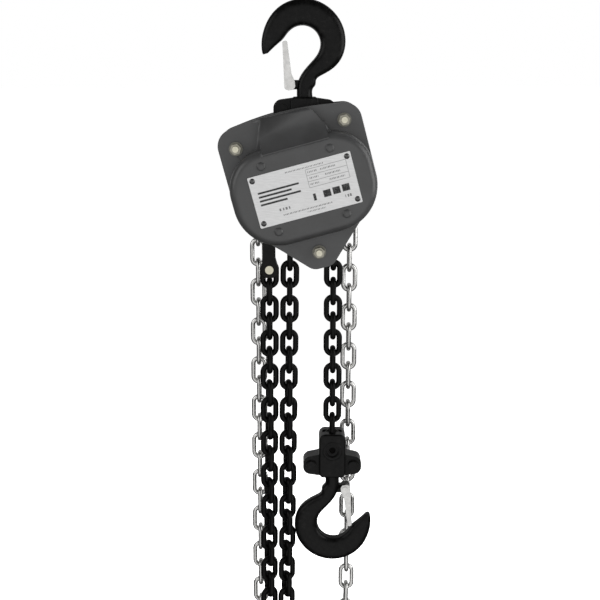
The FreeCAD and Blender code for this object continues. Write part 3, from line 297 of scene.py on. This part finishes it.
def plate_print():
    """Brushed aluminium name plate with plain printed bars, a ruled table and small rows of ticks."""
    f = Finish("brushed plate")
    own = f.add("ShaderNodeVectorMath", {"operation": "SUBTRACT"}, (f.place, tuple(SHEAVE)))
    own = f.add("ShaderNodeVectorRotate", {"rotation_type": "Y_AXIS"}, {"Vector": own, "Angle": LEAN})
    parts = f.add("ShaderNodeSeparateXYZ", None, {"Vector": own}, "X")
    across = parts * 1000 - PLATE_MIDDLE[0]
    up = Link(f, parts.socket.node.outputs["Z"]) * 1000 - PLATE_MIDDLE[1]
    brushed = f.noise(0.45, 4, 0.7, stretch=(0.06, 1, 1), turn=(0, -LEAN, 0))
    speck = f.noise(1.3, 3, 0.7)
    front = 1 - Link(f, parts.socket.node.outputs["Y"]).ramp(*PLATE_FACE)

    def bar(middle, rise, half_wide, half_high, soft=0.22):
        """A printed block: 1 inside, 0 outside."""
        sideways = (across - middle).size().ramp(half_wide + soft, half_wide - soft)
        upright = (up - rise).size().ramp(half_high + soft, half_high - soft)
        return sideways * upright

    def ticks(middle, rise, half_wide, half_high, pitch, share, seed):
        """A row of short strokes of uneven weight."""
        strokes = (across + seed).wave(pitch) + (across + seed).wave(pitch * 2.7) * 0.5
        return bar(middle, rise, half_wide, half_high) * strokes.ramp(share - 0.2, share + 0.25)

    ink = bar(-24.0, 8.0, 20.0, 0.9)
    for middle, rise, wide in ((-28.0, 4.2, 16.0), (-24.0, 0.4, 20.0), (-31.0, -3.4, 13.0)):
        ink = ink.most(bar(middle, rise, wide, 0.9))
    for middle, wide, rise in ((7.4, 1.3, -8.6), (19.6, 3.6, -8.0), (28.8, 3.6, -7.6), (38.0, 3.6, -7.2)):
        ink = ink.most(bar(middle, rise, wide, 3.3))
    small_rows = (((-2, -17.6, 24, 0.7, 1.5, -0.1, 3), 0.75), ((6, -20.6, 9, 0.6, 1.5, 0, 5), 0.7),
                  ((4, 20.6, 19, 0.6, 1.5, -0.1, 2), 0.75), ((-22.5, -12.0, 6.5, 1.2, 3.0, 0, 7), 0.8),
                  ((38.5, -15.2, 3.0, 1.3, 2.6, 0, 4), 0.8))
    for row, strength in small_rows:
        ink = ink.most(ticks(*row) * strength)
    table_middle, table_half, rows = 24.5, 19.6, (18.4, 12.6, 6.8, 1.0)
    for line in rows:
        ink = ink.most(bar(table_middle, line, table_half, 0.16) * 0.8)
    for post in (table_middle - table_half, table_middle + table_half):
        ink = ink.most(bar(post, 9.7, 0.16, 8.7) * 0.8)
    for number, line in enumerate(rows[:-1]):
        label = ticks(table_middle - 13.5, line - 2.8, 4.6, 0.8, 1.6, 0.1, number)
        entry = ticks(table_middle + 2 + 3 * number, line - 2.8, 7.5, 0.8, 1.5, 0.05, number + 2)
        ink = ink.most(label * 0.75).most(entry * 0.8)
    ink = (ink * front).least(1.0) * (0.88 + speck.ramp(0.3, 0.6) * 0.12)
    metal = f.blend(brushed.ramp(0.3, 0.7), grey(0.76), grey(0.9))
    metal = f.blend(speck.ramp(0.6, 0.75) * 0.15, metal, grey(0.5))
    base = f.blend(ink, metal, grey(0.006))
    rough = 0.42 + brushed * 0.14 + ink * 0.1
    bump = f.relief(brushed, 0.03, 0.5)
    return f.shade(Base_Color=base, Roughness=rough, Metallic=(1 - ink) * 0.3, Normal=bump)


FINISHES = {
    "body_paint": satin_paint(),
    "hook_black": black_enamel(),
    "chain_black": chain_black(),
    "zinc": zinc("bright zinc", (0.74, 0.735, 0.72), 0.16),
    "yellow_zinc": zinc("passivated zinc", (0.72, 0.69, 0.56), 0.2),
    "label_metal": plate_print(),
    "machined": turned_steel(),
    "cast": cast_iron(),
    "friction": brake_lining(),
    # darker copies of the bright zinc, as painted shade on the nuts, washers and name plate rivets
    "nut zinc with painted shade": zinc("nut zinc with painted shade", (0.36, 0.345, 0.29), 0.24),
    "washer zinc with painted shade": zinc("washer zinc with painted shade", (0.2, 0.195, 0.17), 0.3),
    "rivet zinc with painted shade": zinc("rivet zinc with painted shade", (0.12, 0.12, 0.12), 0.25),
    # the pin's end: painted shade
    "pin end painted shade": pin_end_painted_shade(),
}
SLOT_OF = {part["node"]: part["material_slot"] for part in frame["record"]["subparts"]}
# the nuts, washers, rivets and the pin's end take finishes darkened as painted shade
LOOK_OF = {**SLOT_OF, "stay_nuts": "nut zinc with painted shade", "stay_washers": "washer zinc with painted shade",
           "name_plate_rivets": "rivet zinc with painted shade", "load_chain_pin": "pin end painted shade"}


def finish(thing, look):
    """Gives an object one of the finishes."""
    thing.data.materials.clear()
    thing.data.materials.append(FINISHES[look])


for name, part in nodes.items():
    finish(part, LOOK_OF[name])


# ---------------------------------------------------------------- pieces
def piece(name, shape, body, slot, look=None):
    """Turns a bmesh into an object at the origin that rides on a body."""
    mesh = bpy.data.meshes.new(name)
    shape.to_mesh(mesh)
    shape.free()
    thing = bpy.data.objects.new(name, mesh)
    bpy.context.scene.collection.objects.link(thing)
    finish(thing, look or slot)
    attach(thing, body)
    return thing


def softened(node, body, edge):
    """A merged, smooth-shaded copy of a CAD node, its folds kept crisp or given a small round edge."""
    shape = bmesh.new()
    shape.from_mesh(nodes[node].data)
    bmesh.ops.remove_doubles(shape, verts=shape.verts, dist=SAME_POINT)
    bmesh.ops.dissolve_limit(shape, angle_limit=FLAT, verts=shape.verts, edges=shape.edges)
    for face in shape.faces:
        face.smooth = True
    triangles = sum(len(face.verts) - 2 for face in shape.faces)
    copy = piece(node + "_finished", shape, body, SLOT_OF[node], LOOK_OF[node])
    copy.data.set_sharp_from_angle(angle=FOLD)
    if triangles > MOST_TRIANGLES:
        thinning = copy.modifiers.new("thinning", "DECIMATE")
        thinning.ratio = MOST_TRIANGLES / triangles
    if edge:
        rounding = copy.modifiers.new("edges", "BEVEL")
        rounding.width = edge * MM
        rounding.segments = 2
        rounding.limit_method = "ANGLE"
        rounding.angle_limit = FOLD
        rounding.harden_normals = True
        rounding.use_clamp_overlap = True
    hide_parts(node)


# each body's softened nodes, with the small round edge each gets in mm, or 0 for none
SOFT = {
    "suspension_hook": {"suspension_hook": 0},
    "suspension_latch": {"suspension_hook_latch": 0.25},
    "suspension_yoke": {"suspension_yoke_front": 0.5, "suspension_yoke_rear": 0.5},
    "hoist_body": {"gear_cover": 0, "hand_wheel_cover": 0, "front_side_plate": 0.4, "rear_side_plate": 0.4,
                   "load_chain_upper": 0, "slack_chain": 0, "hand_chain": 0, "chain_anchor": 0.5,
                   "stay_nuts": 0.25, "stay_washers": 0.2, "name_plate": 0},
    "load_strand": {"load_chain_lower": 0},
    "load_block": {"load_block_front": 0.5, "load_block_rear": 0.5},
    "load_hook": {"load_hook": 0},
    "load_latch": {"load_hook_latch": 0.25},
}
for body, members in SOFT.items():
    for node, edge in members.items():
        softened(node, body, edge)


def casing_spot(u, y, v):
    """A point of the casing's own frame, in mm, as a place in the row's frame."""
    return SHEAVE + Matrix.Rotation(-LEAN, 3, "Y") @ Vector((u, y, v)) * MM


def dimples():
    """The four shallow round bumps pressed in the gear cover's face, above and below the name plate."""
    shape = bmesh.new()
    radius, rise, sunk = 4.2, 2.0, 0.15
    sideways, upwards = 33.5, 32.0
    for side, level in ((-1, 1), (1, 1), (-1, -1), (1, -1)):
        dome = bmesh.ops.create_uvsphere(shape, u_segments=28, v_segments=16, radius=radius * MM)["verts"]
        bmesh.ops.scale(shape, vec=(1, rise / radius, 1), verts=dome)
        middle = casing_spot(side * sideways, COVER_FACE + sunk, PLATE_MIDDLE[1] + level * upwards)
        bmesh.ops.translate(shape, vec=middle, verts=dome)
    for face in shape.faces:
        face.smooth = True
    piece("cover_bumps", shape, "hoist_body", "body_paint")


def bore_rings():
    """The rounded lip around the chain pin's bore on each face of the load block."""
    outline = ((6.8, -1.2), (7.1, 0.1), (8.3, 0.55), (9.9, 0.35), (10.4, -0.2))     # radius and rise, mm
    low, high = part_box("load_chain_pin")
    middle = [(least + most) / 2 for least, most in zip(low, high)]
    for side, half in ((-1, "front"), (1, "rear")):
        block_low, block_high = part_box("load_block_" + half)
        face = block_low[1] if side < 0 else block_high[1]
        shape = bmesh.new()
        section = [shape.verts.new((radius * MM, side * rise * MM, 0)) for radius, rise in outline]
        edges = [shape.edges.new(pair) for pair in zip(section, section[1:])]
        bmesh.ops.spin(shape, geom=section + edges, cent=(0, 0, 0), axis=(0, 1, 0), dvec=(0, 0, 0),
                       angle=math.tau, steps=48, use_merge=True, use_duplicate=False)
        bmesh.ops.remove_doubles(shape, verts=shape.verts, dist=0.001 * MM)
        rims = [edge for edge in shape.edges if edge.is_boundary]
        bmesh.ops.bridge_loops(shape, edges=rims)
        bmesh.ops.recalc_face_normals(shape, faces=shape.faces)
        for surface in shape.faces:
            surface.smooth = True
        bmesh.ops.translate(shape, vec=(middle[0], face, middle[2]), verts=shape.verts)
        ring = piece("pin_bore_lip_" + half, shape, "load_block", "hook_black")
        ring.data.set_sharp_from_angle(angle=math.radians(50))


dimples()
bore_rings()


# ---------------------------------------------------------------- stage, light and camera
def stage():
    """A plain pale floor below the chains' loops, which lights nothing and shows in no reflection."""
    shape = bmesh.new()
    bmesh.ops.create_grid(shape, x_segments=1, y_segments=1, size=60)
    bmesh.ops.translate(shape, vec=(0, 0, cad_box[0][2] - FLOOR_DROP), verts=shape.verts)
    mesh = bpy.data.meshes.new("floor")
    shape.to_mesh(mesh)
    shape.free()
    floor = bpy.data.objects.new("floor", mesh)
    bpy.context.scene.collection.objects.link(floor)
    pale = Finish("pale floor")
    tone = pale.blend(pale.noise(900, 2, 0.5), grey(0.86), grey(0.9))
    mesh.materials.append(pale.shade(Base_Color=tone, Roughness=0.9, Emission_Color=grey(1),
                                     Emission_Strength=FLOOR_GLOW))
    floor.visible_diffuse = False
    floor.visible_glossy = False


def studio():
    """White to the camera; lit by a room with a wide soft front, dark sides and a dim back."""
    world = bpy.data.worlds.new("studio")
    world.use_nodes = True
    bpy.context.scene.world = world
    tree = world.node_tree
    seen = tree.nodes.new("ShaderNodeLightPath")
    spot = tree.nodes.new("ShaderNodeTexCoord")
    aim = tree.nodes.new("ShaderNodeVectorMath")
    aim.operation = "DOT_PRODUCT"
    aim.inputs[1].default_value = FRONT_AIM
    walls = tree.nodes.new("ShaderNodeValToRGB")
    walls.color_ramp.interpolation = "EASE"
    room = tree.nodes.new("ShaderNodeMix")
    room.data_type = "RGBA"
    steps = walls.color_ramp.elements
    steps.remove(steps[1])
    steps[0].position = 0.0
    steps[0].color = grey(BACK_LIGHT)
    from_back_to_front = ((0.1, BACK_LIGHT), (0.28, SIDE_LIGHT), (0.76, SIDE_LIGHT), (0.95, FRONT_LIGHT))
    for place, level in from_back_to_front:
        steps.new(place).color = grey(level)
    room.inputs[7].default_value = grey(1)
    half = tree.nodes.new("ShaderNodeMath")              # from -1..1 to the ramp's 0..1
    half.operation = "MULTIPLY_ADD"
    half.inputs[1].default_value = 0.5
    half.inputs[2].default_value = 0.5
    tree.links.new(spot.outputs["Generated"], aim.inputs[0])
    tree.links.new(aim.outputs["Value"], half.inputs[0])
    tree.links.new(half.outputs[0], walls.inputs[0])
    tree.links.new(walls.outputs[0], room.inputs[6])
    tree.links.new(seen.outputs["Is Camera Ray"], room.inputs[0])
    tree.links.new(room.outputs[2], tree.nodes["Background"].inputs["Color"])
    bpy.context.scene.view_settings.view_transform = "Standard"


def lamp(name, at, wide, high, power, gleams=True):
    """A soft box that faces the hoist's middle, and that glossy surfaces mirror or not."""
    light = bpy.data.lights.new(name, "AREA")
    light.shape = "RECTANGLE"
    light.size = wide
    light.size_y = high
    light.energy = power
    thing = bpy.data.objects.new(name, light)
    thing.location = at
    thing.rotation_euler = (Vector(HOIST_MIDDLE) - Vector(at)).to_track_quat("-Z", "Y").to_euler()
    thing.visible_glossy = gleams
    bpy.context.scene.collection.objects.link(thing)


def camera():
    """Square on to the label, a little above it and looking slightly down."""
    view = bpy.data.cameras.new("camera")
    view.lens = LENS
    view.sensor_width = SENSOR
    thing = bpy.data.objects.new("camera", view)
    thing.location = EYE
    thing.rotation_euler = Euler((math.radians(90 - LOOK_DOWN), 0, 0))
    bpy.context.scene.collection.objects.link(thing)
    bpy.context.scene.camera = thing


camera()
stage()
studio()
lamp("key", (1.3, -0.4, 0.1), 0.9, 1.4, 11)
lamp("fill", (-1.3, -0.6, 0.3), 0.9, 1.2, 6)
lamp("rim", (1.0, 0.8, 0.1), 0.3, 1.2, 20, gleams=False)
lamp("back", (-0.5, 1.5, 0.3), 0.9, 1.2, 26, gleams=False)
